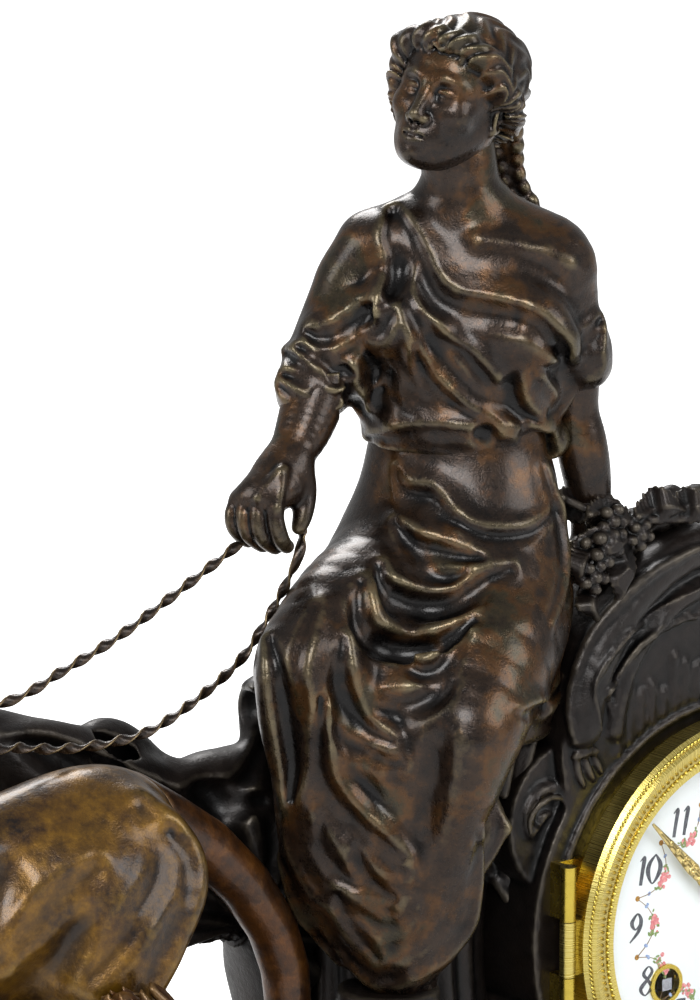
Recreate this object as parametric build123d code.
from build123d import *

import math
import os

# A figural mantel clock. A woman in a draped dress sits on a shell-shaped chariot beside a round
# striking clock, and holds two twisted metal reins that run to a lion's mouth.
# Millimetres, +Z up. The dial faces -Y and the lion walks towards -X.
# The origin is the middle of the plinth's footprint, at the underside of its feet.

# plinth and its bun feet
plinth_length = 524
plinth_depth = 176
plinth_thickness = 20
plinth_step = 6
plinth_step_height = 7
plinth_corner = 12
foot_height = 12
foot_radius = 16
foot_inset = 34
foot_waist_share = 0.72

# rocky ground casting on the plinth, and the step of the rock behind
ground_thickness = 6
ground_margin = 14
ground_corner = 40
bank_height = 17
bank_length = 150
bank_depth = 22
bank_x = 8
bank_edge_gap = 8
rock_height = 68
rock_radius = 25
rock_top_share = 0.64

# place of the dial's axis above the feet and from the middle
dial_x = 163.5
dial_z = 110

# clock case: two hollow castings that meet on a flat seam
case_wall = 4
case_front_y = -36
case_seam_y = 6
case_back_y = 50
case_drum_radius = 76
case_crown_radius = 65
case_crown_rise = 64
case_crown_depth = 28
housing_crown_radius = 48
housing_crown_rise = 54
cheek_radius = 26
cheek_shift = 56
cheek_rise = 38
cheek_step = 5
case_foot_width = 150
case_foot_height = 50
case_base_step = 3
case_base_height = 7
crest_radius = 50
crest_shift = 26
crest_rise = 80
crest_thickness = 6
seat_bore_clearance = 0.5
door_bore_radius = 42

# ornament of the case: a broad scroll with an inner band, a ribbed shell and a small scroll at each side
scroll_radius = 7
scroll_start_angle = 5
scroll_sweep_angle = 170
inner_scroll_radius = 3.5
inner_scroll_inset = 21
side_scroll_radius = 8.5
side_scroll_wire = 2.6
side_scroll_shift = 67
side_scroll_rise = 41
side_scroll_start_angle = 30
side_scroll_sweep_angle = 180
shell_rib_radius = 2.6
shell_rib_pitch = 4.7
shell_rib_sink = 1.2
shell_base_radius = 72
shell_height_shares = (1.16, 1.11, 1.07, 1.1, 1.13, 0.99, 1.03, 1, 1.06, 0.87)

# chariot: a round hollow body under the seat, and a shell-shaped prow beside the lion
chariot_wall = 5
chariot_seat_thickness = 6
chariot_height = 162
chariot_x = 63
chariot_y = 10
chariot_body_shares = (
    (0, 0.25, 0.22), (0.16, 0.24, 0.21), (0.42, 0.2, 0.185), (0.7, 0.23, 0.215), (0.88, 0.255, 0.235), (1, 0.26, 0.24),
)
prow_root_x = 44
prow_y = 22
prow_shares = (
    (0, 0, 0.52, 0.123, 0.31), (-0.148, 0, 0.57, 0.117, 0.27), (-0.27, 0, 0.66, 0.105, 0.185),
    (-0.395, 0, 0.66, 0.1, 0.19), (-0.52, 0, 0.73, 0.093, 0.18), (-0.64, 0, 0.815, 0.087, 0.16),
    (-0.74, 0, 0.89, 0.08, 0.123), (-0.81, 0, 0.94, 0.05, 0.06),
)

# seated figure, in a frame of its own that turns towards the front left
figure_x = 73
figure_y = -10
figure_turn = -38
figure_height = 300
skirt_shares = (
    (-0.063, -0.127, 0, 0.047, 0.05), (-0.065, -0.127, 0.05, 0.062, 0.06), (-0.073, -0.123, 0.1, 0.087, 0.075),
    (-0.073, -0.117, 0.155, 0.1, 0.083), (-0.075, -0.107, 0.22, 0.108, 0.093), (-0.07, -0.093, 0.28, 0.118, 0.103),
    (-0.05, -0.067, 0.33, 0.14, 0.12), (-0.028, -0.04, 0.375, 0.155, 0.13), (0.004, 0, 0.42, 0.125, 0.11),
    (0.006, 0.017, 0.46, 0.118, 0.095), (0.01, 0.023, 0.51, 0.103, 0.08), (0.014, 0.023, 0.56, 0.094, 0.072),
)
leg_shares = (
    ((-0.05, 0, 0.4), (-0.145, -0.15, 0.355), (-0.085, -0.135, 0.06)),
    ((0.06, 0, 0.385), (0.017, -0.145, 0.285), (-0.045, -0.12, 0.06)),
)
leg_radius_shares = (0.07, 0.055, 0.034)
torso_shares = (
    (0.014, 0.023, 0.56, 0.094, 0.072), (0.02, 0.02, 0.62, 0.096, 0.075), (0.025, 0.018, 0.69, 0.103, 0.079),
    (0.022, 0.014, 0.735, 0.108, 0.066), (0.016, 0.01, 0.778, 0.075, 0.05), (0.014, 0.007, 0.812, 0.036, 0.037),
)
bust_shares = ((-0.03, -0.045, 0.662, 0.05, 0.045, 0.046), (0.07, -0.042, 0.648, 0.05, 0.045, 0.046))
shoulder_shares = ((-0.082, 0.003, 0.742, 0.045, 0.045, 0.04), (0.11, 0.013, 0.708, 0.05, 0.048, 0.04))
head_shares = (
    (-0.002, 0, 0.921, 0.062, 0.073, 0.076), (-0.026, -0.036, 0.873, 0.034, 0.036, 0.034),
    (0.028, 0.044, 0.925, 0.06, 0.058, 0.062), (0.012, 0.012, 0.958, 0.06, 0.06, 0.042),
)
neck_shares = ((0.014, 0.007, 0.812), (0, 0.004, 0.885))
neck_radius_shares = (0.035, 0.032)
braid_shares = ((0.052, 0.068, 0.885), (0.072, 0.08, 0.81), (0.083, 0.075, 0.775))
braid_radius_shares = (0.024, 0.015, 0.009)
right_arm_shares = (
    (-0.1, 0, 0.752), (-0.128, -0.02, 0.685), (-0.144, -0.04, 0.617), (-0.16, -0.082, 0.552), (-0.185, -0.1, 0.505),
    (-0.19, -0.107, 0.475),
)
right_arm_radius_shares = (0.042, 0.046, 0.037, 0.021, 0.025, 0.018)
left_arm_shares = (
    (0.128, 0.013, 0.715), (0.134, 0.02, 0.647), (0.15, 0.04, 0.553), (0.16, 0.047, 0.477), (0.145, 0.047, 0.429),
)
left_arm_radius_shares = (0.044, 0.05, 0.03, 0.02, 0.026)

# reins: flat strip twisted along its length, carried here as a round bar of the same width
rein_width = 3.6
rein_right_shares = (
    (-0.242, 0.04, 0.467), (-0.323, 0.033, 0.431), (-0.405, 0.023, 0.398), (-0.485, 0.013, 0.374), (-0.562, 0.007, 0.354),
    (-0.78, 0.02, 0.322), (-0.92, 0.047, 0.285), (-1.0, 0.017, 0.257),
)
rein_left_shares = (
    (-0.181, 0.018, 0.492), (-0.18, 0.017, 0.466), (-0.19, 0.015, 0.442), (-0.207, 0.034, 0.39), (-0.255, 0.031, 0.343),
    (-0.367, 0, 0.307), (-0.43, -0.007, 0.299), (-0.5, -0.01, 0.303), (-0.58, -0.02, 0.318), (-0.72, -0.075, 0.335),
    (-0.84, -0.105, 0.31), (-0.93, -0.12, 0.28), (-1.0, -0.08, 0.257),
)
bit_ring_radius = 5
bit_ring_wire = 1.4

# lion, from its rump to its muzzle
lion_length = 204
lion_height = 154
lion_rump_x = -44
lion_y = -19
lion_body_shares = (
    (0, 0, 0.8, 0.04, 0.1), (-0.05, 0, 0.8, 0.11, 0.17), (-0.15, 0, 0.8, 0.15, 0.2), (-0.32, 0, 0.785, 0.13, 0.185),
    (-0.49, 0, 0.78, 0.14, 0.205), (-0.64, 0, 0.81, 0.15, 0.225), (-0.74, 0, 0.85, 0.13, 0.2), (-0.79, 0, 0.88, 0.09, 0.15),
)
lion_head_shares = (
    (-0.82, 0, 1.02, 0.15, 0.13, 0.17), (-0.88, 0, 1.03, 0.1, 0.085, 0.1), (-0.94, 0, 0.98, 0.062, 0.055, 0.055),
    (-0.84, -0.085, 1.17, 0.022, 0.016, 0.032), (-0.84, 0.085, 1.17, 0.022, 0.016, 0.032),
)
lion_leg_shares = (
    ((-0.14, -0.075, 0.74), (-0.2, -0.09, 0.44), (-0.1, -0.09, 0.24), (-0.13, -0.09, 0.05)),
    ((-0.14, 0.07, 0.74), (-0.25, 0.08, 0.44), (-0.17, 0.08, 0.22), (-0.215, 0.08, 0.05)),
    ((-0.68, -0.075, 0.76), (-0.64, -0.085, 0.48), (-0.66, -0.085, 0.22), (-0.68, -0.085, 0.05)),
    ((-0.68, 0.07, 0.76), (-0.72, 0.08, 0.5), (-0.79, 0.08, 0.26), (-0.81, 0.08, 0.05)),
)
lion_leg_radius_shares = (0.115, 0.068, 0.043, 0.046)
lion_paw_shares = (0.058, 0.05, 0.042)
lion_tail_shares = (
    (-0.043, 0.045, 0.9), (0.029, 0.052, 0.839), (0.108, 0.058, 0.77), (0.182, 0.062, 0.674), (0.233, 0.062, 0.574),
    (0.258, 0.062, 0.48), (0.262, 0.058, 0.395), (0.243, 0.032, 0.29), (0.17, -0.06, 0.2), (0.08, -0.17, 0.165),
    (-0.03, -0.24, 0.24), (-0.13, -0.26, 0.38), (-0.18, -0.26, 0.54), (-0.21, -0.25, 0.6),
)
lion_tail_radius_shares = (
    0.062, 0.062, 0.058, 0.055, 0.052, 0.05, 0.048, 0.043, 0.036, 0.03, 0.027, 0.036, 0.058, 0.03,
)

# bezel, glass and the seat ring that clasps the front of the case
seat_flange_radius = 63
seat_flange_thickness = 4
seat_tube_radius = 56
seat_tube_wall = 1.5
seat_tube_length = 14
bezel_outer_radius = 65.5
bezel_inner_radius = 56
bezel_depth = 10
bezel_lip = 3
bezel_gap = 0.3
bezel_face_slope = 2.5
sight_ring_width = 2.4
sight_ring_depth = 3
glass_thickness = 1.6
glass_rise = 5
glass_seat_depth = 5
glass_clearance = 0.1
hinge_offset = 68.6
hinge_drop = 3.2
hinge_knuckle_radius = 2.6
hinge_pin_radius = 1.2
hinge_knuckle_length = 18
hinge_leaf_thickness = 2
hinge_leaf_angle = 30
hinge_clearance = 0.05
knuckle_gap = 0.3

# dial, hands and winding grommets
dial_radius = 54.2
dial_thickness = 1.6
dial_seat_gap = 2.4
dial_hole_radius = 3.8
winding_x = 24
winding_drop = 21
grommet_radius = 5.9
grommet_wall = 0.6
grommet_rim = 0.8
grommet_height = 0.8
dial_foot_radius = 1.4
dial_foot_count = 3
dial_foot_circle = 43
hand_thickness = 0.7
hand_gap = 1.4
minute_hand_length = 48.5
hour_hand_length = 32
hand_width = 4.6
hand_tip_width = 1
hand_boss_radius = 4
minute_hand_angle = 134
hour_hand_angle = 4
hand_nut_radius = 2.2
hand_nut_height = 1.1

# movement plates and pillars
plate_thickness = 2
plate_radius = 45
plate_spacing = 24
plate_setback = 3
pillar_radius = 2.6
pillar_circle = 41
pillar_angles = (-90, 25, 118, 172)
pillar_screw_radius = 3.4
pillar_screw_height = 1.6

# wheel train
arbor_radius = 1.1
arbor_clearance = 0.05
wheel_thickness = 1.2
pinion_length = 3
barrel_radius = 15.6
barrel_wall = 1.4
barrel_length = 14
barrel_teeth = 72
barrel_module = 0.5
barrel_arbor_radius = 2.2
winding_square = 4
winding_square_length = 6
ratchet_teeth = 24
ratchet_module = 0.36
click_length = 8
click_width = 2.2
click_gap = 0.2
mainspring_turns = 4
mainspring_thickness = 0.8
pinion_teeth = 10
train_module = 0.4
second_teeth = 60
centre_teeth = 60
third_teeth = 50
escape_module = 0.36
escape_teeth = 30
escape_height = 23
escape_radius = 8.2
escape_root_share = 0.8
strike_second_teeth = 48
strike_pin_teeth = 44
strike_second_bearing = 105
strike_pin_bearing = 38
lifting_pin_count = 8
lifting_pin_circle = 6.4
lifting_pin_radius = 0.6
lifting_pin_length = 1.6
pallet_rise = 12.5
pallet_spread = 6.2
pallet_nib = 1.4
pallet_gap = 0.9
cannon_teeth = 12
minute_wheel_teeth = 36
minute_pinion_teeth = 10
hour_wheel_teeth = 40
motion_module = 0.5
minute_wheel_bearing = -60
pipe_wall = 0.6
cannon_pipe_radius = 1.9
tooth_tip_share = 0.11
tooth_root_share = 0.29
addendum_share = 0.72
dedendum_share = 1.1

# pendulum, bell and hammer behind the back plate
pendulum_gap = 9
pendulum_length = 72
pendulum_rod_radius = 1
bob_radius = 12
bob_thickness = 5
rating_nut_radius = 2.8
rating_nut_height = 3
suspension_width = 2
suspension_thickness = 0.3
suspension_length = 6
cock_width = 13
cock_thickness = 2.4
cock_foot = 5
crutch_length = 24
crutch_radius = 0.8
bell_radius = 29
bell_wall = 1.6
bell_depth = 14
bell_gap = 22
bell_post_radius = 1.8
bell_post_circle = 36
bell_post_angle = -14
bell_nut_radius = 3.4
hammer_x = -30
hammer_z = 17
hammer_reach = 22
hammer_radius = 3.6
hammer_length = 7
hammer_rod_radius = 0.9
hammer_gap = 0.4
hammer_tail_gap = 1.2

# straps and rear door
strap_circle = 52.2
strap_angle = 20
lug_radius = 2.7
lug_length = 5
strap_radius = 1.5
strap_head_radius = 3
strap_head_height = 1.6
door_ring_radius = 58
door_ring_thickness = 2.4
door_radius = 47.5
door_thickness = 1.2
door_gap = 0.3
door_knob_radius = 3
door_knob_length = 6
door_hinge_offset = 61.5

# studs, washers and nuts that hold the castings to the plinth
stud_radius = 2
stud_clearance = 0.3
stud_engagement = 5
nut_sides = 6
nut_radius = 4.4
nut_height = 3.2
washer_radius = 6
washer_thickness = 1
stud_x_shares = (-0.34, -0.1, 0.12, 0.42)

# flower spray on the crown of the case
spray_angle = 122
spray_length = 66
leaf_count = 7
leaf_length = 24
leaf_width = 10
leaf_thickness = 4
leaf_tilt = 12
rose_radius = 9
rose_petals = 5

cut_over = 1

plinth_top = foot_height + plinth_thickness
ground_top = plinth_top + ground_thickness
footrest_top = ground_top + rock_height
front_plate_front_y = case_front_y + plate_setback
front_plate_back_y = front_plate_front_y + plate_thickness
back_plate_front_y = front_plate_back_y + plate_spacing
back_plate_back_y = back_plate_front_y + plate_thickness
case_crown_back_y = case_front_y + case_crown_depth
cheek_front_y = case_front_y + cheek_step
dial_back_y = case_front_y - dial_seat_gap
dial_front_y = dial_back_y - dial_thickness
hour_hand_y = dial_front_y - hand_gap
minute_hand_y = hour_hand_y - hand_thickness - hand_gap
bezel_back_y = case_front_y - seat_flange_thickness - bezel_gap
bezel_front_y = bezel_back_y - bezel_depth
glass_seat_y = bezel_back_y - glass_seat_depth
bezel_hinge_y = bezel_back_y - hinge_drop
pendulum_y = back_plate_back_y + pendulum_gap
bell_front_y = back_plate_back_y + bell_gap
bell_back_y = bell_front_y + bell_depth
escape_reach = escape_height + pallet_rise
great_wheel_y = back_plate_front_y - 3 * wheel_thickness
second_wheel_y = back_plate_front_y - wheel_thickness
centre_wheel_y = front_plate_back_y + 7 * wheel_thickness
third_wheel_y = front_plate_back_y + 4.4 * wheel_thickness
escape_wheel_y = back_plate_front_y - 2.4 * wheel_thickness
pin_wheel_y = front_plate_back_y + 4.4 * wheel_thickness
barrel_back_y = great_wheel_y - wheel_thickness
barrel_front_y = barrel_back_y - barrel_length
cannon_y = front_plate_front_y - wheel_thickness / 2
hour_wheel_y = cannon_y - 2.2 * wheel_thickness


# planes, bars and rings along the dial's axis; a place is (across, up) from that axis
def dial_plane(y, place=(0, 0)):
    return Plane(origin=(dial_x + place[0], y, dial_z + place[1]), x_dir=(1, 0, 0), z_dir=(0, -1, 0))


upward = (Align.CENTER, Align.CENTER, Align.MIN)


def bar(place, radius, back_y, front_y):
    return extrude(dial_plane(back_y, place) * Circle(radius), amount=back_y - front_y)


def ring(place, outer, inner, back_y, front_y):
    return extrude(dial_plane(back_y, place) * (Circle(outer) - Circle(inner)), amount=back_y - front_y)


def link(start, end, half_width, back_y, front_y):
    across, up = end[0] - start[0], end[1] - start[1]
    middle = (start[0] + across / 2, start[1] + up / 2)
    face = SlotCenterToCenter(math.hypot(across, up), 2 * half_width, rotation=math.degrees(math.atan2(up, across)))
    return extrude(dial_plane(back_y, middle) * face, amount=back_y - front_y)


def polar(radius, degrees, centre=(0, 0)):
    angle = math.radians(degrees)
    return (centre[0] + radius * math.cos(angle), centre[1] + radius * math.sin(angle))


def block(x0, x1, y0, y1, z0, z1):
    centre = ((x0 + x1) / 2, (y0 + y1) / 2, (z0 + z1) / 2)
    return Pos(*centre) * Box(abs(x1 - x0), abs(y1 - y0), abs(z1 - z0))


def turned(profile):
    """A solid of revolution about the dial's axis: the profile's points are (radius, y)."""
    face = make_face(Polyline([(r, y) for r, y in profile], close=True))
    floor = Plane(origin=(dial_x, 0, dial_z), x_dir=(1, 0, 0), z_dir=(0, 0, 1))
    return revolve(floor * face, axis=Axis((dial_x, 0, dial_z), (0, 1, 0)), revolution_arc=360)


# rounded cast forms
def egg(centre, radii, turn=(0, 0, 0)):
    return Pos(*centre) * Rot(*turn) * scale(Sphere(1), by=tuple(radii))


def stacked(rows, turn=0):
    """A loft through level ellipses, each row (x, y, z, half width, half depth)."""
    across = Vector(1, 0, 0).rotate(Axis.Z, turn)
    return loft([Plane(origin=(x, y, z), x_dir=across, z_dir=(0, 0, 1)) * Ellipse(a, b) for x, y, z, a, b in rows])


def along_x(rows):
    """A loft through upright ellipses, each row (x, y, z, half depth, half height)."""
    side = {"x_dir": (0, 1, 0), "z_dir": (1, 0, 0)}
    return loft([Plane(origin=(x, y, z), **side) * Ellipse(a, b) for x, y, z, a, b in rows])


def limb(points, radii):
    """Tapering round bars from point to point, with a ball at each point."""
    body = Pos(*points[0]) * Sphere(radii[0])
    for start, end, r0, r1 in zip(points, points[1:], radii, radii[1:]):
        plane = Plane(origin=start, z_dir=Vector(*end) - Vector(*start))
        length = (Vector(*end) - Vector(*start)).length
        body += loft([plane * Circle(r0), plane.offset(length) * Circle(r1)])
        body += Pos(*end) * Sphere(r1)
    return body


def main_solid(shape):
    return max(shape.solids(), key=lambda solid: solid.volume)


def figure_point(x, y, z):
    turned_point = Vector(x, y, z).rotate(Axis.Z, figure_turn) * figure_height
    return (figure_x + turned_point.X, figure_y + turned_point.Y, footrest_top + turned_point.Z)


def figure_rows(shares):
    return [(*figure_point(x, y, z), a * figure_height, b * figure_height) for x, y, z, a, b in shares]


def figure_eggs(shares):
    eggs = [
        egg(figure_point(x, y, z), [size * figure_height for size in sizes], (0, 0, figure_turn))
        for x, y, z, *sizes in shares
    ]
    return Part() + eggs


def figure_limb(shares, radius_shares):
    return limb([figure_point(*point) for point in shares], [share * figure_height for share in radius_shares])


def lion_point(x, y, z):
    return (lion_rump_x + x * lion_length, lion_y + y * lion_height, ground_top + z * lion_height)


# toothed wheels
def tooth_outline(teeth, module, phase):
    tip = teeth * module / 2 + addendum_share * module
    root = teeth * module / 2 - dedendum_share * module
    pitch_angle = 360 / teeth
    flank = ((root, -tooth_root_share), (tip, -tooth_tip_share), (tip, tooth_tip_share), (root, tooth_root_share))
    points = [polar(radius, phase + (k + share) * pitch_angle) for k in range(teeth) for radius, share in flank]
    return make_face(Polyline(points, close=True))


def toothed(place, teeth, module, phase, back_y, thickness):
    return extrude(dial_plane(back_y, place) * tooth_outline(teeth, module, phase), amount=thickness)


def bearing(start, end):
    return math.degrees(math.atan2(end[1] - start[1], end[0] - start[0]))


def meshing_phase(first, first_teeth, first_phase, second, second_teeth):
    """The phase that sets a gap of the second wheel on the tooth of the first that faces it."""
    first_pitch = 360 / first_teeth
    offset_share = ((bearing(first, second) - first_phase) / first_pitch) % 1
    return bearing(second, first) + (offset_share + 1 / 2) * 360 / second_teeth


def pitch_radius(teeth, module):
    return teeth * module / 2


def meeting_place(first, first_reach, second, second_reach, side):
    """The place at both reaches, to the left (side 1) or right (side -1) of the line between the two."""
    span = math.hypot(second[0] - first[0], second[1] - first[1])
    along = (span**2 + first_reach**2 - second_reach**2) / (2 * span)
    swing = math.degrees(math.acos(along / first_reach))
    return polar(first_reach, bearing(first, second) + side * swing, first)


# places of the arbors, each (across, up) from the dial's axis
centre_place = (0, 0)
time_place = (winding_x, -winding_drop)
strike_place = (-winding_x, -winding_drop)
barrel_reach = pitch_radius(barrel_teeth + pinion_teeth, barrel_module)
centre_reach = pitch_radius(second_teeth + pinion_teeth, train_module)
second_place = meeting_place(time_place, barrel_reach, centre_place, centre_reach, -1)
escape_place = (0, escape_height)
third_place = meeting_place(
    centre_place,
    pitch_radius(centre_teeth + pinion_teeth, train_module),
    escape_place,
    pitch_radius(third_teeth + pinion_teeth, escape_module),
    -1,
)
pallet_place = (0, escape_reach)
strike_second_place = polar(barrel_reach, strike_second_bearing, strike_place)
pin_place = polar(
    pitch_radius(strike_second_teeth + pinion_teeth, train_module), strike_pin_bearing, strike_second_place
)
motion_reach = pitch_radius(cannon_teeth + minute_wheel_teeth, motion_module)
minute_wheel_place = polar(motion_reach, minute_wheel_bearing)
hour_module = 2 * motion_reach / (minute_pinion_teeth + hour_wheel_teeth)
hammer_place = (hammer_x, hammer_z)
hammer_head_place = meeting_place(
    hammer_place, hammer_reach, centre_place, bell_radius + hammer_gap + hammer_radius, 1
)
bell_post_place = polar(bell_post_circle, bell_post_angle)
strap_places = (polar(strap_circle, strap_angle), polar(strap_circle, 180 - strap_angle))
pillar_places = [polar(pillar_circle, angle) for angle in pillar_angles]
arbor_hole = arbor_radius + arbor_clearance
barrel_arbor_hole = barrel_arbor_radius + arbor_clearance
plain_arbor_places = (centre_place, second_place, third_place, escape_place, strike_second_place, pin_place, hammer_place)

# phases at rest, so that each pair of wheels meets tooth in gap
second_pinion_phase = meshing_phase(time_place, barrel_teeth, 0, second_place, pinion_teeth)
centre_pinion_phase = meshing_phase(second_place, second_teeth, 0, centre_place, pinion_teeth)
third_pinion_phase = meshing_phase(centre_place, centre_teeth, 0, third_place, pinion_teeth)
escape_pinion_phase = meshing_phase(third_place, third_teeth, 0, escape_place, pinion_teeth)
minute_wheel_phase = meshing_phase(centre_place, cannon_teeth, 0, minute_wheel_place, minute_wheel_teeth)
hour_wheel_phase = meshing_phase(minute_wheel_place, minute_pinion_teeth, 0, centre_place, hour_wheel_teeth)
strike_second_phase = meshing_phase(strike_place, barrel_teeth, 0, strike_second_place, pinion_teeth)
pin_pinion_phase = meshing_phase(strike_second_place, strike_second_teeth, 0, pin_place, pinion_teeth)


# the base
stud_places = [share * plinth_length for share in stud_x_shares]


def plinth():
    lower_height = plinth_thickness - plinth_step_height
    lower = extrude(
        Plane(origin=(0, 0, foot_height)) * RectangleRounded(plinth_length, plinth_depth, plinth_corner),
        amount=lower_height,
    )
    upper_size = (plinth_length - 2 * plinth_step, plinth_depth - 2 * plinth_step)
    upper = extrude(
        Plane(origin=(0, 0, foot_height + lower_height)) * RectangleRounded(*upper_size, plinth_corner),
        amount=plinth_step_height,
    )
    body = lower + upper
    for x in stud_places:
        body -= Pos(x, 0, 0) * Cylinder(stud_radius + stud_clearance, plinth_top + cut_over, align=upward)
    return body


def bun_feet():
    feet = []
    waist = foot_waist_share * foot_radius
    rows = ((0, waist), (foot_height / 3, foot_radius), (2 * foot_height / 3, foot_radius), (foot_height, waist))
    for side_x in (-1, 1):
        for side_y in (-1, 1):
            x = side_x * (plinth_length / 2 - foot_inset)
            y = side_y * (plinth_depth / 2 - foot_inset)
            foot = stacked([(x, y, z, radius, radius) for z, radius in rows])
            feet.append(main_solid(foot - plinth()))
    return Compound(children=feet)


def plinth_fixings():
    """A stud, a washer and a nut at each fixing place."""
    washer_z = foot_height - washer_thickness
    bottom = washer_z - nut_height
    height = plinth_top + stud_engagement - bottom
    solids = []
    for x in stud_places:
        washer_face = Circle(washer_radius) - Circle(stud_radius)
        nut_face = RegularPolygon(nut_radius, nut_sides) - Circle(stud_radius)
        solids.append(Pos(x, 0, bottom) * Cylinder(stud_radius, height, align=upward))
        solids.append(extrude(Plane(origin=(x, 0, washer_z)) * washer_face, amount=washer_thickness))
        solids.append(extrude(Plane(origin=(x, 0, bottom)) * nut_face, amount=nut_height))
    return Compound(children=solids)


def ground():
    size = (plinth_length - 2 * ground_margin, plinth_depth - 2 * ground_margin)
    slab = extrude(Plane(origin=(0, 0, plinth_top)) * RectangleRounded(*size, ground_corner), amount=ground_thickness)
    bank_y = size[1] / 2 - bank_edge_gap - bank_depth / 2
    half = (bank_length / 2, bank_depth / 2)
    rows = [
        (bank_x, bank_y, ground_top, *half),
        (bank_x, bank_y, ground_top + bank_height / 2, half[0] - ground_thickness, half[1] - bank_depth / 8),
        (bank_x, bank_y, ground_top + bank_height, half[0] - bank_height, half[1] - bank_depth / 4),
    ]
    body = slab + stacked(rows)
    for x in stud_places:
        body -= Pos(x, 0, plinth_top + stud_engagement / 2) * Cylinder(stud_radius, stud_engagement)
    return body


def footrest():
    x, y, z = figure_point(*skirt_shares[0][:3])
    top = rock_top_share * rock_radius
    middle = (rock_radius + top) / 2
    rows = [
        (x, y, ground_top, rock_radius, rock_radius), (x, y, (ground_top + z) / 2, middle, middle), (x, y, z, top, top),
    ]
    return stacked(rows)


# the case
def housing_outline(inset=0):
    drum = Circle(case_drum_radius - inset)
    crown = Pos(0, housing_crown_rise) * Circle(housing_crown_radius - inset)
    foot_bottom = ground_top - dial_z
    foot_width = case_foot_width - 2 * inset
    foot = Pos(0, foot_bottom) * Rectangle(foot_width, case_foot_height, align=(Align.CENTER, Align.MIN))
    low = Pos(0, foot_bottom) * Rectangle(2 * plinth_depth, plinth_depth, align=(Align.CENTER, Align.MAX))
    return drum + crown + foot - low


def crown(inset=0):
    """The deep rim of the front's crown, in front of the narrower housing."""
    outline = Pos(0, case_crown_rise) * Circle(case_crown_radius - inset)
    return extrude(dial_plane(case_crown_back_y - inset) * outline, amount=case_crown_depth - 2 * inset)


def crest():
    outline = Pos(crest_shift, crest_rise) * Circle(crest_radius)
    return extrude(dial_plane(case_seam_y) * outline, amount=crest_thickness)


def cheek(side):
    place = (side * cheek_shift, cheek_rise)
    return bar(place, cheek_radius, case_seam_y, cheek_front_y)


def housing(back_y, front_y, inset=0):
    return extrude(dial_plane(back_y) * housing_outline(inset), amount=back_y - front_y)


def case_cavity(back_y, front_y):
    foot_bottom = ground_top - dial_z
    sill = Rectangle(case_foot_width - 2 * case_wall, case_foot_height, align=(Align.CENTER, Align.MIN))
    low = extrude(dial_plane(back_y, (0, foot_bottom - cut_over)) * sill, amount=back_y - front_y)
    return housing(back_y, front_y, case_wall) + low


def case_base(back_y, front_y):
    width = case_foot_width + 2 * case_base_step
    return block(dial_x - width / 2, dial_x + width / 2, back_y, front_y, ground_top, ground_top + case_base_height)


def scroll_arc(place, radius, tube, y, start, sweep):
    centre = (dial_x + place[0], dial_z + place[1])
    start_place = polar(radius, start, centre)
    section = Plane(
        origin=(start_place[0], y, start_place[1]),
        x_dir=(0, 1, 0),
        z_dir=(math.sin(math.radians(start)), 0, -math.cos(math.radians(start))),
    ) * Circle(tube)
    arc = revolve(section, axis=Axis((centre[0], y, centre[1]), (0, -1, 0)), revolution_arc=sweep)
    for angle in (start, start + sweep):
        end = polar(radius, angle, centre)
        arc += Pos(end[0], y, end[1]) * Sphere(tube)
    return arc


def broad_scroll():
    radius = case_crown_radius - scroll_radius
    place = (0, case_crown_rise)
    return scroll_arc(place, radius, scroll_radius, case_front_y, scroll_start_angle, scroll_sweep_angle)


def inner_scroll():
    radius = case_crown_radius - inner_scroll_inset
    start = scroll_start_angle / 2
    sweep = scroll_sweep_angle + scroll_start_angle
    return scroll_arc((0, case_crown_rise), radius, inner_scroll_radius, case_front_y, start, sweep)


def side_scroll(side):
    start = side_scroll_start_angle
    if side > 0:
        start = 180 - side_scroll_start_angle - side_scroll_sweep_angle
    place = (side * side_scroll_shift, side_scroll_rise)
    return scroll_arc(place, side_scroll_radius, side_scroll_wire, cheek_front_y, start, side_scroll_sweep_angle)


def shell_rib(u, height):
    """One upright rib of the shell, from the rim round the bezel up to its own height."""
    y = case_front_y + shell_rib_sink
    bottom = math.sqrt(shell_base_radius**2 - u**2)
    points = [(dial_x + u, y, dial_z + v) for v in (bottom, height)]
    return limb(points, (shell_rib_radius, shell_rib_radius))


def case_front():
    body = housing(case_seam_y, case_front_y) + crown() + crest()
    body += case_base(case_seam_y, case_front_y - case_base_step)
    body += broad_scroll() + inner_scroll()
    for k, share in enumerate(shell_height_shares):
        for side in ((-1, 1) if k else (1,)):
            body += shell_rib(side * k * shell_rib_pitch, share * case_drum_radius)
    for side in (-1, 1):
        body += cheek(side) + side_scroll(side)
    body -= case_cavity(case_seam_y, case_front_y + case_wall) + crown(case_wall)
    body -= bar(centre_place, seat_tube_radius + seat_bore_clearance, case_seam_y, case_front_y - cut_over)
    return main_solid(body)


def case_back():
    body = housing(case_back_y, case_seam_y) + case_base(case_back_y, case_seam_y)
    body -= case_cavity(case_back_y - case_wall, case_seam_y)
    hole = strap_circle + strap_radius + seat_bore_clearance
    body -= bar(centre_place, hole, case_back_y + cut_over, case_seam_y)
    return main_solid(body)


def case_mass():
    """The filled outer form of both castings, which the pieces beside the case are cut by."""
    body = housing(case_back_y, case_front_y) + crown() + crest()
    body += case_base(case_back_y, case_front_y - case_base_step)
    return body + broad_scroll() + [cheek(side) + side_scroll(side) for side in (-1, 1)]


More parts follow.
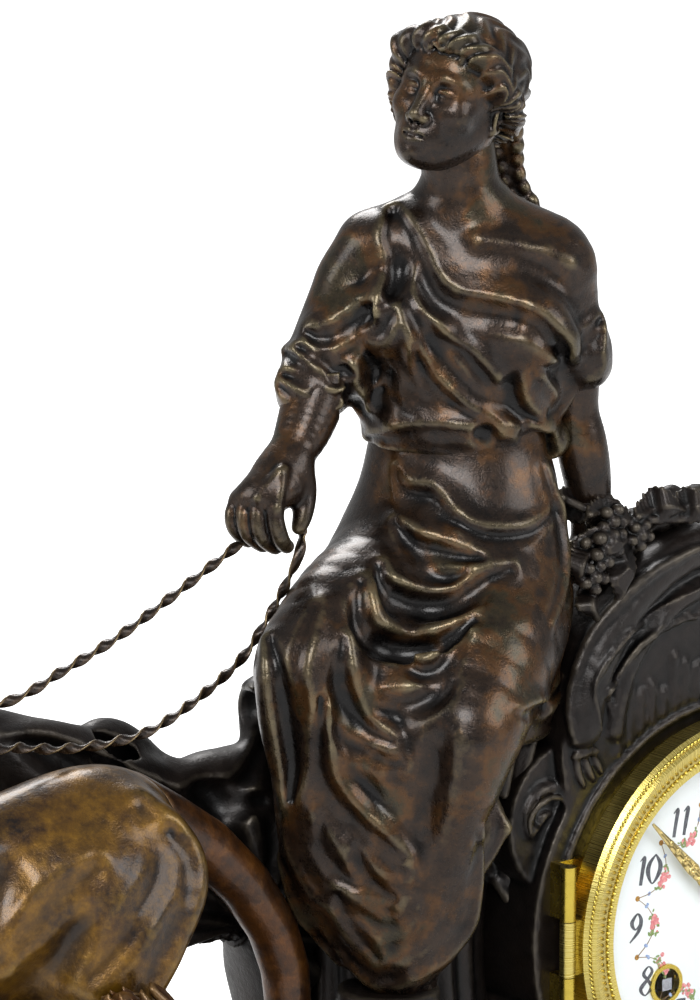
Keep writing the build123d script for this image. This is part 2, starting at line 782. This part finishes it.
def flower_spray():
    centre = (0, case_crown_rise)
    body = Part()
    step = math.degrees(spray_length / case_crown_radius) / (leaf_count - 1)
    for k in range(leaf_count):
        angle = spray_angle + (k - leaf_count // 2) * step
        u, v = polar(case_crown_radius + leaf_thickness / 2, angle, centre)
        y = case_front_y + leaf_width * (1 + k % 2)
        tilt = 90 - angle + (leaf_tilt if k % 2 else -leaf_tilt)
        body += egg((dial_x + u, y, dial_z + v), (leaf_length / 2, leaf_width / 2, leaf_thickness / 2), (0, tilt, 0))
    for angle in (spray_angle, spray_angle - 2 * step):
        u, v = polar(case_crown_radius + rose_radius / 2, angle, centre)
        y = case_front_y + leaf_width
        body += Pos(dial_x + u, y, dial_z + v) * Sphere(rose_radius * 3 / 4)
        for k in range(rose_petals):
            du, dv = polar(rose_radius / 2, k * 360 / rose_petals, (u, v))
            body += Pos(dial_x + du, y - rose_radius / 4, dial_z + dv) * Sphere(rose_radius / 2)
    return main_solid(body - case_mass() - left_arm_form())


# the chariot
def chariot_form():
    rows = [
        (chariot_x, chariot_y, ground_top + z * chariot_height, a * chariot_height, b * chariot_height)
        for z, a, b in chariot_body_shares
    ]
    return stacked(rows)


def chariot_body():
    """A hollow casting, open underneath, whose top is the seat."""
    rows = [
        (chariot_x, chariot_y, ground_top + z * chariot_height, a * chariot_height - chariot_wall,
         b * chariot_height - chariot_wall)
        for z, a, b in chariot_body_shares
    ]
    seat_z = ground_top + chariot_height - chariot_seat_thickness
    high = block(-plinth_length, plinth_length, -plinth_depth, plinth_depth, seat_z, seat_z + chariot_height)
    inner = stacked(rows) - high
    return main_solid(chariot_form() - inner - case_mass() - skirt_form() - footrest())


def chariot_prow():
    rows = [
        (prow_root_x + x * chariot_height, prow_y + y * chariot_height, ground_top + z * chariot_height,
         a * chariot_height, h * chariot_height)
        for x, y, z, a, h in prow_shares
    ]
    return main_solid(along_x(rows) - chariot_form() - skirt_form() - footrest())


# the figure
def skirt_form():
    body = stacked(figure_rows(skirt_shares), figure_turn)
    for shares in leg_shares:
        body += figure_limb(shares, leg_radius_shares)
    low = block(-plinth_length, plinth_length, -plinth_depth, plinth_depth, 0, footrest_top)
    top = figure_point(*skirt_shares[-1][:3])[2]
    high = block(-plinth_length, plinth_length, -plinth_depth, plinth_depth, top, top + figure_height)
    return body - low - high


def figure_skirt():
    return main_solid(skirt_form() - case_mass())


def torso_form():
    body = stacked(figure_rows(torso_shares), figure_turn)
    return body + figure_eggs(bust_shares) + figure_eggs(shoulder_shares)


def figure_torso():
    return main_solid(torso_form() - skirt_form())


def figure_head():
    body = figure_eggs(head_shares) + figure_limb(neck_shares, neck_radius_shares)
    body += figure_limb(braid_shares, braid_radius_shares)
    return main_solid(body - torso_form())


def right_arm_form():
    return figure_limb(right_arm_shares, right_arm_radius_shares)


def figure_right_arm():
    return main_solid(right_arm_form() - torso_form() - skirt_form())


def left_arm_form():
    return figure_limb(left_arm_shares, left_arm_radius_shares)


def figure_left_arm():
    return main_solid(left_arm_form() - torso_form() - skirt_form() - case_mass())


def rein_point(x, y, z):
    return (figure_x + x * figure_height, figure_y + y * figure_height, footrest_top + z * figure_height)


def rein(shares):
    body = limb([rein_point(*point) for point in shares], [rein_width / 2 for _ in shares])
    return main_solid(body - right_arm_form() - lion_form() - lion_bit())


# the lion
def lion_form():
    rows = [
        (*lion_point(x, y, z), a * lion_height, h * lion_height) for x, y, z, a, h in lion_body_shares
    ]
    body = along_x(rows)
    for x, y, z, *sizes in lion_head_shares:
        body += egg(lion_point(x, y, z), [size * lion_height for size in sizes])
    radii = [share * lion_height for share in lion_leg_radius_shares]
    paw = [share * lion_height for share in lion_paw_shares]
    for shares in lion_leg_shares:
        body += limb([lion_point(*point) for point in shares], radii)
        x, y, z = lion_point(*shares[-1])
        body += egg((x - paw[0] / 2, y, ground_top + paw[2] / 2), (paw[0] * 3 / 2, paw[1], paw[2]))
    return body - block(-plinth_length, plinth_length, -plinth_depth, plinth_depth, 0, ground_top)


def lion_body():
    return main_solid(lion_form())


def lion_tail():
    radii = [share * lion_height for share in lion_tail_radius_shares]
    body = limb([lion_point(*point) for point in lion_tail_shares], radii)
    return main_solid(body - lion_form() - skirt_form() - footrest() - chariot_form())


def lion_bit():
    far = Vector(*rein_point(*rein_right_shares[-1]))
    near = Vector(*rein_point(*rein_left_shares[-1]))
    middle = (far + near) / 2
    width = (far - near).length
    turn = Rot(90, 0, 0)
    body = Pos(*middle) * turn * Cylinder(bit_ring_wire, width)
    for end in (far, near):
        body += Pos(end.X - bit_ring_radius, end.Y, end.Z) * turn * Torus(bit_ring_radius, bit_ring_wire)
    return body - lion_form()


# bezel, glass and seat
def hinge_axis_x():
    return dial_x - hinge_offset


def knuckle(x, y, low, high):
    outer = Pos(x, y, low) * Cylinder(hinge_knuckle_radius, high - low, align=upward)
    return outer - Pos(x, y, low) * Cylinder(hinge_pin_radius + hinge_clearance, high - low, align=upward)


def knuckle_spans():
    half = hinge_knuckle_length / 2
    return ((half + knuckle_gap, half + hinge_knuckle_length), (-half - hinge_knuckle_length, -half - knuckle_gap))


def bezel_seat():
    body = ring(centre_place, seat_flange_radius, seat_tube_radius - seat_tube_wall, case_front_y,
                case_front_y - seat_flange_thickness)
    body += ring(centre_place, seat_tube_radius, seat_tube_radius - seat_tube_wall,
                 case_front_y + seat_tube_length, case_front_y)
    for place in strap_places:
        lug = bar(place, lug_radius, front_plate_back_y + lug_length, front_plate_back_y)
        body += lug & bar(centre_place, seat_tube_radius, case_front_y + seat_tube_length, case_front_y)
    x = hinge_axis_x()
    for low, high in knuckle_spans():
        z0, z1 = dial_z + low, dial_z + high
        leaf_y = case_front_y - hinge_leaf_thickness
        body += block(x - hinge_leaf_thickness / 2, dial_x - seat_flange_radius * math.cos(math.radians(hinge_leaf_angle)),
                      leaf_y, case_front_y, z0, z1) - bar(centre_place, seat_tube_radius, case_front_y, leaf_y)
        body += block(x - hinge_leaf_thickness / 2, x + hinge_leaf_thickness / 2, bezel_hinge_y, case_front_y, z0, z1)
        body -= Pos(x, bezel_hinge_y, (z0 + z1) / 2) * Cylinder(hinge_pin_radius + hinge_clearance, z1 - z0)
        body += knuckle(x, bezel_hinge_y, z0, z1)
    return body


def bezel_ring():
    profile = (
        (bezel_inner_radius, bezel_back_y),
        (bezel_outer_radius, bezel_back_y),
        (bezel_outer_radius, bezel_front_y + bezel_lip),
        (bezel_outer_radius - bezel_lip, bezel_front_y),
        (bezel_inner_radius, bezel_front_y + bezel_face_slope),
    )
    body = turned(profile)
    x = hinge_axis_x()
    half = hinge_knuckle_length / 2
    z0, z1 = dial_z - half, dial_z + half
    leaf = block(x, dial_x - bezel_inner_radius, bezel_hinge_y - hinge_leaf_thickness / 2,
                 bezel_hinge_y + hinge_leaf_thickness / 2, z0, z1)
    leaf -= bar(centre_place, bezel_inner_radius, bezel_back_y, bezel_front_y)
    leaf -= Pos(x, bezel_hinge_y, dial_z) * Cylinder(hinge_pin_radius + hinge_clearance, hinge_knuckle_length)
    return body + leaf + knuckle(x, bezel_hinge_y, z0, z1)


def sight_ring():
    seat_radius = bezel_inner_radius
    profile = (
        (seat_radius, glass_seat_y),
        (seat_radius, glass_seat_y - sight_ring_depth),
        (seat_radius - sight_ring_width, glass_seat_y - sight_ring_depth),
        (seat_radius - sight_ring_width, glass_seat_y),
    )
    return turned(profile)


def bezel_glass():
    edge = bezel_inner_radius - glass_clearance
    sphere_radius = (edge**2 + glass_rise**2) / (2 * glass_rise)
    centre_y = glass_seat_y - glass_rise + sphere_radius
    slab = bar(centre_place, edge, glass_seat_y + glass_thickness, glass_seat_y - glass_rise)
    outer = Pos(dial_x, centre_y, dial_z) * Sphere(sphere_radius)
    inner = Pos(dial_x, centre_y + glass_thickness, dial_z) * Sphere(sphere_radius)
    inside = bezel_inner_radius - sight_ring_width
    rim_cut = ring(centre_place, edge + cut_over, inside, glass_seat_y, glass_seat_y - glass_rise)
    return main_solid((slab & outer) - inner - rim_cut)


# dial and hands
def dial():
    body = bar(centre_place, dial_radius, dial_back_y, dial_front_y)
    body -= bar(centre_place, dial_hole_radius, dial_back_y, dial_front_y)
    for place in (time_place, strike_place):
        body -= bar(place, grommet_radius, dial_back_y, dial_front_y)
    for k in range(dial_foot_count):
        place = polar(dial_foot_circle, 90 + k * 360 / dial_foot_count)
        body += bar(place, dial_foot_radius, front_plate_front_y, dial_back_y)
    return body


def winding_grommets():
    grommets = []
    for place in (time_place, strike_place):
        inner = grommet_radius - grommet_wall
        body = ring(place, grommet_radius, inner, dial_back_y, dial_front_y)
        body += ring(place, grommet_radius + grommet_rim, inner, dial_front_y, dial_front_y - grommet_height)
        grommets.append(body)
    return Compound(children=grommets)


def hand(length, back_y, bore, angle):
    half = hand_width / 2
    waist = length / 4
    outline = ((0, -half / 2), (waist, -half / 2), (2 * waist, -half), (length, -hand_tip_width / 2),
               (length, hand_tip_width / 2), (2 * waist, half), (waist, half / 2), (0, half / 2))
    blade = Rot(0, 0, angle) * make_face(Polyline(outline, close=True))
    face = blade + Circle(hand_boss_radius) - Circle(bore)
    return extrude(dial_plane(back_y) * face, amount=hand_thickness)


def hour_hand():
    return hand(hour_hand_length, hour_hand_y, hour_pipe_outer, hour_hand_angle)


def minute_hand():
    return hand(minute_hand_length, minute_hand_y, cannon_pipe_radius, minute_hand_angle)


hour_pipe_inner = cannon_pipe_radius + arbor_clearance
hour_pipe_outer = hour_pipe_inner + pipe_wall
minute_hand_front_y = minute_hand_y - hand_thickness


def hand_nut():
    return ring(centre_place, hand_nut_radius, arbor_radius, minute_hand_front_y, minute_hand_front_y - hand_nut_height)


# movement
def back_plate():
    body = bar(centre_place, plate_radius, back_plate_back_y, back_plate_front_y)
    for place in plain_arbor_places:
        body -= bar(place, arbor_hole, back_plate_back_y, back_plate_front_y)
    for place in (time_place, strike_place):
        body -= bar(place, barrel_arbor_hole, back_plate_back_y, back_plate_front_y)
    return body - bar(pallet_place, 2 * arbor_radius, back_plate_back_y, back_plate_front_y)


def front_plate():
    radius = seat_tube_radius - seat_tube_wall - glass_clearance
    body = bar(centre_place, radius, front_plate_back_y, front_plate_front_y)
    for place in (*plain_arbor_places, pallet_place):
        body -= bar(place, arbor_hole, front_plate_back_y, front_plate_front_y)
    for place in (time_place, strike_place):
        body -= bar(place, barrel_arbor_hole, front_plate_back_y, front_plate_front_y)
    post_front_y = hour_wheel_y - wheel_thickness * 3 / 2
    return body + bar(minute_wheel_place, arbor_radius, front_plate_front_y, post_front_y)


def pillars():
    bodies = []
    for place in pillar_places:
        body = bar(place, pillar_radius, back_plate_front_y, front_plate_back_y)
        head_y = back_plate_back_y + pillar_screw_height
        bodies.append(body)
        bodies.append(bar(place, pillar_screw_radius, head_y, back_plate_back_y))
    return Compound(children=bodies)


def barrel(place):
    """The drum with its great wheel, and the wound mainspring as a closed pack inside it."""
    drum = bar(place, barrel_radius, barrel_back_y, barrel_front_y)
    drum -= bar(place, barrel_radius - barrel_wall, barrel_back_y, barrel_front_y + barrel_wall)
    drum += toothed(place, barrel_teeth, barrel_module, 0, great_wheel_y, wheel_thickness)
    drum -= bar(place, barrel_arbor_hole, great_wheel_y, barrel_front_y)
    inner = barrel_arbor_radius + mainspring_turns * mainspring_thickness
    spring = ring(place, barrel_radius - barrel_wall, inner, barrel_back_y, barrel_front_y + barrel_wall)
    return Compound(children=[drum.solid(), spring.solid()])


def winding_arbor(place):
    body = bar(place, barrel_arbor_radius, back_plate_back_y, front_plate_front_y)
    body += toothed(place, ratchet_teeth, ratchet_module, 0, cannon_y, wheel_thickness)
    body += bar(place, barrel_arbor_radius, front_plate_front_y, cannon_y)
    square = dial_plane(cannon_y - wheel_thickness, place) * Rectangle(winding_square, winding_square)
    return body + extrude(square, amount=winding_square_length)


def clicks():
    reach = pitch_radius(ratchet_teeth, ratchet_module) + ratchet_module + click_gap + click_width / 2
    bodies = []
    for place in (time_place, strike_place):
        start = (place[0], place[1] - reach)
        end = (place[0], place[1] - reach - click_length)
        bodies.append(link(start, end, click_width / 2, front_plate_front_y, cannon_y - wheel_thickness))
    return Compound(children=bodies)


def train_arbor(place, back_y=back_plate_back_y, front_y=front_plate_front_y):
    return bar(place, arbor_radius, back_y, front_y)


def pinion(place, module, phase, wheel_back_y):
    back_y = wheel_back_y + (pinion_length - wheel_thickness) / 2
    return toothed(place, pinion_teeth, module, phase, back_y, pinion_length)


def second_wheel():
    body = train_arbor(second_place)
    body += toothed(second_place, second_teeth, train_module, 0, second_wheel_y, wheel_thickness)
    return body + pinion(second_place, barrel_module, second_pinion_phase, great_wheel_y)


def centre_arbor():
    body = train_arbor(centre_place, front_y=minute_hand_front_y - hand_nut_height)
    body += toothed(centre_place, centre_teeth, train_module, 0, centre_wheel_y, wheel_thickness)
    return body + pinion(centre_place, train_module, centre_pinion_phase, second_wheel_y)


def cannon_pinion():
    body = toothed(centre_place, cannon_teeth, motion_module, 0, cannon_y, wheel_thickness)
    body += bar(centre_place, cannon_pipe_radius, cannon_y - wheel_thickness, minute_hand_front_y)
    return body - bar(centre_place, arbor_radius, cannon_y, minute_hand_front_y)


def minute_wheel():
    body = toothed(
        minute_wheel_place, minute_wheel_teeth, motion_module, minute_wheel_phase, cannon_y, wheel_thickness
    )
    length = cannon_y - hour_wheel_y
    body += toothed(
        minute_wheel_place, minute_pinion_teeth, hour_module, 0, cannon_y - wheel_thickness, length
    )
    return body - bar(minute_wheel_place, arbor_hole, cannon_y, hour_wheel_y - 2 * wheel_thickness)


def hour_wheel():
    front_y = hour_hand_y - hand_thickness
    body = toothed(centre_place, hour_wheel_teeth, hour_module, hour_wheel_phase, hour_wheel_y, wheel_thickness)
    body += bar(centre_place, hour_pipe_outer, hour_wheel_y, front_y)
    return body - bar(centre_place, hour_pipe_inner, hour_wheel_y, front_y)


def third_wheel():
    body = train_arbor(third_place)
    body += toothed(third_place, third_teeth, escape_module, 0, third_wheel_y, wheel_thickness)
    return body + pinion(third_place, train_module, third_pinion_phase, centre_wheel_y)


def escape_wheel():
    root = escape_root_share * escape_radius
    step = 360 / escape_teeth
    points = []
    for k in range(escape_teeth):
        points.append(polar(root, k * step))
        points.append(polar(escape_radius, k * step))
        points.append(polar(root, (k + 1 / 4) * step))
    outline = dial_plane(escape_wheel_y, escape_place) * make_face(Polyline(points, close=True))
    body = extrude(outline, amount=wheel_thickness) + train_arbor(escape_place)
    return body + pinion(escape_place, escape_module, escape_pinion_phase, third_wheel_y)


def pallets():
    crutch_y = pendulum_y - pendulum_rod_radius - crutch_radius - suspension_thickness
    body = train_arbor(pallet_place, back_y=crutch_y + crutch_radius)
    reach = escape_radius + pallet_gap + pallet_nib / 2
    angle = math.degrees(math.acos(pallet_spread / reach))
    for side in (angle, 180 - angle):
        nib = polar(reach, side, escape_place)
        body += link(pallet_place, nib, pallet_nib / 2, escape_wheel_y, escape_wheel_y - wheel_thickness)
    foot = (pallet_place[0], pallet_place[1] - crutch_length)
    body += link(pallet_place, foot, crutch_radius, crutch_y + crutch_radius, crutch_y - crutch_radius)
    spread = pendulum_rod_radius + crutch_radius + suspension_thickness
    body += link((foot[0] - spread, foot[1]), (foot[0] + spread, foot[1]), crutch_radius,
                 crutch_y + crutch_radius, crutch_y - crutch_radius)
    for side in (-1, 1):
        body += bar((foot[0] + side * spread, foot[1]), crutch_radius,
                    pendulum_y + pendulum_rod_radius, crutch_y - crutch_radius)
    return body


def strike_second_wheel():
    body = train_arbor(strike_second_place)
    body += toothed(strike_second_place, strike_second_teeth, train_module, 0, second_wheel_y, wheel_thickness)
    return body + pinion(strike_second_place, barrel_module, strike_second_phase, great_wheel_y)


def strike_pin_wheel():
    body = train_arbor(pin_place)
    body += toothed(pin_place, strike_pin_teeth, train_module, 0, pin_wheel_y, wheel_thickness)
    body += pinion(pin_place, train_module, pin_pinion_phase, second_wheel_y)
    front_y = pin_wheel_y - wheel_thickness
    for k in range(lifting_pin_count):
        place = polar(lifting_pin_circle, k * 360 / lifting_pin_count, pin_place)
        body += bar(place, lifting_pin_radius, front_y, front_y - lifting_pin_length)
    return body


# pendulum
def cock_places():
    return [(side * cock_width / 2, escape_reach + cock_foot) for side in (-1, 1)]


def back_cock():
    body = Part()
    bridge_front_y = back_plate_back_y + cock_foot / 2
    bridge_back_y = bridge_front_y + cock_thickness
    for place in cock_places():
        body += bar(place, 2 * arbor_radius, bridge_back_y, back_plate_back_y)
    low = dial_z + escape_reach - cock_foot / 2
    high = dial_z + escape_reach + cock_foot * 3 / 2
    half = cock_width / 2 + 2 * arbor_radius
    body += block(dial_x - half, dial_x + half, bridge_front_y, bridge_back_y, low, high)
    body -= bar(pallet_place, arbor_hole, bridge_back_y, bridge_front_y)
    stud_z = dial_z + escape_reach + suspension_length / 2 + suspension_thickness
    half_width = suspension_width / 2
    body += block(dial_x - half_width, dial_x + half_width, bridge_front_y,
                  pendulum_y + suspension_width, stud_z, high)
    return main_solid(body)


def suspension_spring():
    pivot_z = dial_z + escape_reach
    half = suspension_length / 2
    return block(dial_x - suspension_thickness / 2, dial_x + suspension_thickness / 2,
                 pendulum_y - suspension_width / 2, pendulum_y + suspension_width / 2, pivot_z - half, pivot_z + half)


def rod_bottom_z():
    return dial_z + escape_reach - pendulum_length - bob_radius - rating_nut_height - suspension_thickness


def pendulum_rod():
    top = dial_z + escape_reach - suspension_length / 2
    low = rod_bottom_z()
    return Pos(dial_x, pendulum_y, low) * Cylinder(pendulum_rod_radius, top - low, align=upward)


def pendulum_bob():
    centre = (dial_x, pendulum_y, dial_z + escape_reach - pendulum_length)
    return egg(centre, (bob_radius, bob_thickness / 2, bob_radius)) - pendulum_rod()


def rating_nut():
    top = dial_z + escape_reach - pendulum_length - bob_radius
    nut = Pos(dial_x, pendulum_y, top - rating_nut_height / 2) * Cylinder(rating_nut_radius, rating_nut_height)
    return nut - pendulum_rod()


# bell and hammer
def bell():
    centre = (dial_x, bell_front_y, dial_z)
    outer = egg(centre, (bell_radius, bell_depth, bell_radius))
    inner = egg(centre, (bell_radius - bell_wall, bell_depth - bell_wall, bell_radius - bell_wall))
    body = outer - inner - bar(centre_place, 2 * bell_radius, bell_front_y, bell_front_y - 2 * bell_radius)
    return body - bell_stand()


def bell_stand():
    arm_y = bell_back_y + bell_post_radius
    body = bar(bell_post_place, bell_post_radius, arm_y, back_plate_back_y)
    points = [(dial_x + u, arm_y, dial_z + v) for u, v in (bell_post_place, centre_place)]
    body += limb(points, (bell_post_radius, bell_post_radius))
    nut_back_y = bell_back_y - bell_wall
    body += bar(centre_place, bell_post_radius, arm_y, nut_back_y)
    return body + bar(centre_place, bell_nut_radius, nut_back_y, nut_back_y - bell_wall)


def hammer():
    strike_y = bell_front_y + bell_wall
    body = train_arbor(hammer_place, back_y=strike_y + hammer_rod_radius)
    body += link(hammer_place, hammer_head_place, hammer_rod_radius, strike_y + hammer_rod_radius,
                 strike_y - hammer_rod_radius)
    body += bar(hammer_head_place, hammer_radius, strike_y + hammer_length / 2, strike_y - hammer_length / 2)
    tail_length = math.dist(hammer_place, pin_place) - lifting_pin_circle - lifting_pin_radius - hammer_tail_gap
    tail_end = polar(tail_length, bearing(hammer_place, pin_place), hammer_place)
    tail_back_y = pin_wheel_y - wheel_thickness - hammer_gap
    return body + link(hammer_place, tail_end, hammer_rod_radius, tail_back_y, tail_back_y - lifting_pin_length)


# straps and rear door
def straps():
    head_y = case_back_y + door_ring_thickness
    bodies = []
    for place in strap_places:
        rod = bar(place, strap_radius, head_y, front_plate_back_y + lug_length)
        bodies.append(rod + bar(place, strap_head_radius, head_y + strap_head_height, head_y))
    return Compound(children=bodies)


def door_hinge_place():
    return (dial_x + door_hinge_offset, case_back_y + door_ring_thickness + hinge_knuckle_radius + hinge_clearance)


def back_door_ring():
    body = ring(centre_place, door_ring_radius, door_bore_radius, case_back_y + door_ring_thickness, case_back_y)
    x, y = door_hinge_place()
    for low, high in knuckle_spans():
        z0, z1 = dial_z + low, dial_z + high
        half = hinge_leaf_thickness / 2
        reach = dial_x + door_ring_radius * math.cos(math.radians(hinge_leaf_angle))
        body += block(reach, x + half, case_back_y, case_back_y + door_ring_thickness, z0, z1)
        body += block(x - half, x + half, case_back_y, y, z0, z1)
        body -= Pos(x, y, (z0 + z1) / 2) * Cylinder(hinge_pin_radius + hinge_clearance, z1 - z0)
        body += knuckle(x, y, z0, z1)
    for place in strap_places:
        body -= bar(place, strap_radius, case_back_y + door_ring_thickness, case_back_y)
    return body


def back_door():
    front_y = case_back_y + door_ring_thickness + door_gap
    body = bar(centre_place, door_radius, front_y + door_thickness, front_y)
    x, y = door_hinge_place()
    half = hinge_knuckle_length / 2
    z0, z1 = dial_z - half, dial_z + half
    leaf = block(dial_x + door_radius - hinge_knuckle_radius, x, front_y, front_y + door_thickness, z0, z1)
    leaf -= Pos(x, y, dial_z) * Cylinder(hinge_pin_radius + hinge_clearance, hinge_knuckle_length)
    door = body + leaf + knuckle(x, y, z0, z1)
    back_y = front_y + door_thickness
    knob = bar((3 * door_knob_radius - door_radius, 0), door_knob_radius, back_y + door_knob_length, back_y)
    return Compound(children=[door.solid(), knob.solid()])


def hinge_pins():
    axes = ((hinge_axis_x(), bezel_hinge_y), door_hinge_place())
    length = 3 * hinge_knuckle_length
    return Compound(children=[Pos(x, y, dial_z) * Cylinder(hinge_pin_radius, length) for x, y in axes])


nodes = {
    "plinth": plinth,
    "plinth_feet": bun_feet,
    "plinth_fixings": plinth_fixings,
    "ground": ground,
    "footrest_rock": footrest,
    "case_front": case_front,
    "case_back": case_back,
    "flower_spray": flower_spray,
    "chariot_body": chariot_body,
    "chariot_prow": chariot_prow,
    "figure_skirt": figure_skirt,
    "figure_torso": figure_torso,
    "figure_head": figure_head,
    "figure_right_arm": figure_right_arm,
    "figure_left_arm": figure_left_arm,
    "rein_right": lambda: rein(rein_right_shares),
    "rein_left": lambda: rein(rein_left_shares),
    "lion_body": lion_body,
    "lion_tail": lion_tail,
    "lion_bit": lion_bit,
    "bezel_seat": bezel_seat,
    "bezel_ring": bezel_ring,
    "sight_ring": sight_ring,
    "bezel_glass": bezel_glass,
    "dial": dial,
    "winding_grommets": winding_grommets,
    "hour_hand": hour_hand,
    "minute_hand": minute_hand,
    "hand_nut": hand_nut,
    "front_plate": front_plate,
    "back_plate": back_plate,
    "pillars": pillars,
    "time_barrel": lambda: barrel(time_place),
    "time_arbor": lambda: winding_arbor(time_place),
    "strike_barrel": lambda: barrel(strike_place),
    "strike_arbor": lambda: winding_arbor(strike_place),
    "clicks": clicks,
    "second_wheel": second_wheel,
    "centre_arbor": centre_arbor,
    "cannon_pinion": cannon_pinion,
    "minute_wheel": minute_wheel,
    "hour_wheel": hour_wheel,
    "third_wheel": third_wheel,
    "escape_wheel": escape_wheel,
    "pallets": pallets,
    "strike_second_wheel": strike_second_wheel,
    "strike_pin_wheel": strike_pin_wheel,
    "back_cock": back_cock,
    "suspension_spring": suspension_spring,
    "pendulum_rod": pendulum_rod,
    "pendulum_bob": pendulum_bob,
    "rating_nut": rating_nut,
    "bell": bell,
    "bell_stand": bell_stand,
    "hammer": hammer,
    "straps": straps,
    "back_door_ring": back_door_ring,
    "back_door": back_door,
    "hinge_pins": hinge_pins,
}

os.makedirs("parts", exist_ok=True)
for name, make in nodes.items():
    export_step(make(), os.path.join("parts", f"{name}.step"))
    print(name)
